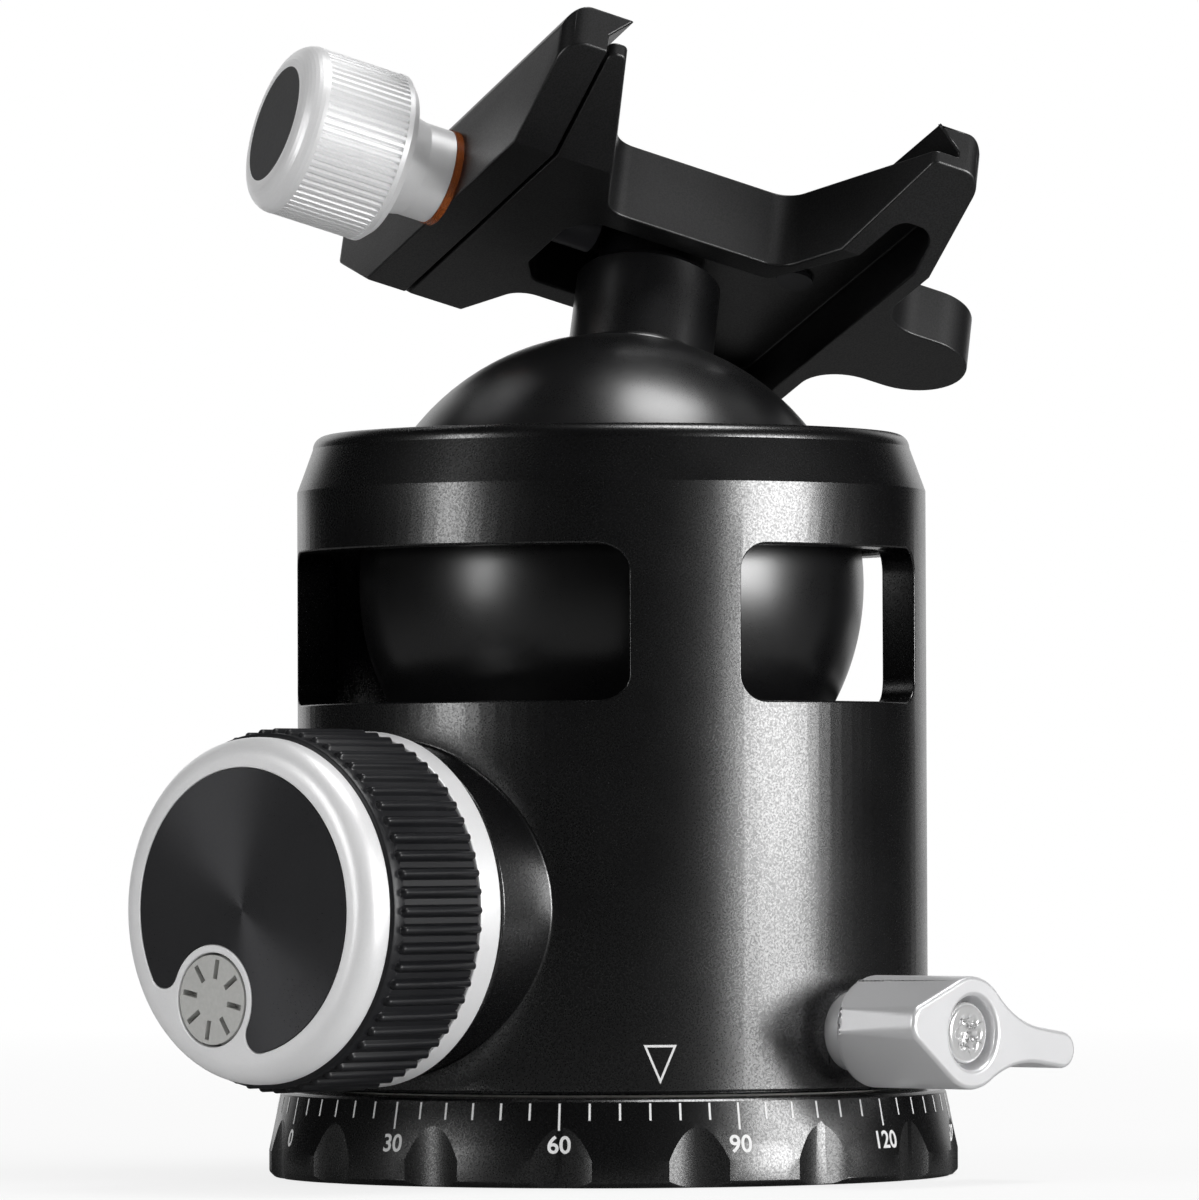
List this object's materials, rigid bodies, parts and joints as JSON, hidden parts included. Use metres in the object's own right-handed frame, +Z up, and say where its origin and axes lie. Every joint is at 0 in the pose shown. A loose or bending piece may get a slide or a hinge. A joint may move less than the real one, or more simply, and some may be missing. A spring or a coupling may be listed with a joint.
{
  "type": "tripod ball head",
  "caption": "Tripod ball head: panning foot with a degree scale, windowed barrel, leaning ball, main knob with friction wheel, pan lock lever and screw clamp for dovetail plates.",
  "frame": {"origin": "centre of the foot's lower face, where the tripod thread opens", "axes": "+Z up along the barrel and the pan axis; the main knob points along -Y and the pan lock lever along +X; the ball leans 25 degrees from +Z towards the compass direction 116.2 degrees from +X"},
  "size_m": [0.0855, 0.0947, 0.1101],
  "materials": {
    "black_anodised": "bead-blasted and black anodised, satin",
    "black_ball": "polished and black anodised, silky",
    "silver_anodised": "silver anodised, satin, with polished shoulders",
    "plain_aluminium": "turned",
    "steel": "turned steel",
    "bright_screw": "bright plated",
    "dark_screw": "black oxide",
    "brass": "turned",
    "nylon": "natural",
    "grip_rubber": "moulded, dull",
    "spun_disc": "black, spun",
    "amber_plastic": "translucent, polished",
    "clear_grey_plastic": "translucent grey, polished",
    "level_glass": "clear yellow-green",
    "level_white": "white"
  },
  "bodies": {
    "pan_base": {"pan_base": "black_anodised", "pan_post": "plain_aluminium", "tripod_bush": "steel", "base_screws": "dark_screw", "lower_slip_washer": "nylon", "upper_slip_washer": "nylon", "retaining_ring": "plain_aluminium", "retaining_screws": "dark_screw"},
    "housing": {"housing": "black_anodised", "bearing_collar": "plain_aluminium", "spindle_bush": "brass", "pressure_piston": "plain_aluminium", "lift_spring": "steel", "pan_shoe": "brass", "lever_collar": "silver_anodised", "knob_washer": "nylon"},
    "swing": {"upper_race": "nylon", "lower_race": "nylon"},
    "ball": {"ball_stem": "black_ball"},
    "clamp": {"clamp_body": "black_anodised", "clamp_bolt": "bright_screw", "stop_screw": "dark_screw", "jaw_springs": "steel", "level_vial": "level_glass", "level_backing": "level_white"},
    "jaw": {"movable_jaw": "black_anodised", "guide_pins": "steel", "clamp_washer": "amber_plastic"},
    "clamp_knob": {"clamp_knob": "silver_anodised", "clamp_screw": "steel", "clamp_knob_cap": "spun_disc"},
    "main_knob": {"knob_core": "silver_anodised", "knob_grip": "grip_rubber", "knob_face": "spun_disc", "main_spindle": "steel", "knob_screw": "dark_screw"},
    "friction_wheel": {"friction_wheel": "clear_grey_plastic", "friction_screw": "steel"},
    "pan_lever": {"pan_lever": "silver_anodised", "lever_screw": "bright_screw", "lever_spindle": "steel"}
  },
  "joints": [
    {"name": "pan", "type": "hinge", "parent": "pan_base", "child": "housing", "pos_m": [0, 0, 0.0084], "axis": [0, 0, 1], "continuous": true},
    {"name": "swing", "type": "hinge", "parent": "housing", "child": "swing", "pos_m": [0, 0, 0.056], "axis": [0, 0, 1], "continuous": true},
    {"name": "tilt", "type": "hinge", "parent": "swing", "child": "ball", "pos_m": [0, 0, 0.056], "axis": [-0.8973, -0.4415, 0], "range_deg": [-63, 13]},
    {"name": "swivel", "type": "hinge", "parent": "ball", "child": "clamp", "pos_m": [-0.00717, 0.01456, 0.0908], "axis": [-0.1866, 0.3792, 0.9063], "continuous": true},
    {"name": "jaw_slide", "type": "slide", "parent": "clamp", "child": "jaw", "axis": [-0.4301, -0.8609, 0.2717], "range_m": [0, 0.006]},
    {"name": "clamp_knob_turn", "type": "hinge", "parent": "jaw", "child": "clamp_knob", "pos_m": [-0.01974, -0.01193, 0.09737], "axis": [-0.4301, -0.8609, 0.2717], "range_deg": [0, 2160]},
    {"name": "main_knob_turn", "type": "hinge", "parent": "housing", "child": "main_knob", "pos_m": [0, -0.04, 0.02545], "axis": [0, -1, 0], "range_deg": [0, 270]},
    {"name": "friction_wheel_turn", "type": "hinge", "parent": "main_knob", "child": "friction_wheel", "pos_m": [-0.00385, -0.04, 0.01737], "axis": [0, -1, 0], "range_deg": [0, 270]},
    {"name": "pan_lever_turn", "type": "hinge", "parent": "housing", "child": "pan_lever", "pos_m": [0.04, 0, 0.014], "axis": [1, 0, 0], "range_deg": [0, 120]}
  ],
  "couplings": [
    {"joint": "clamp_knob_turn", "follows": "jaw_slide", "rad_per_m": 6283.2}
  ]
}
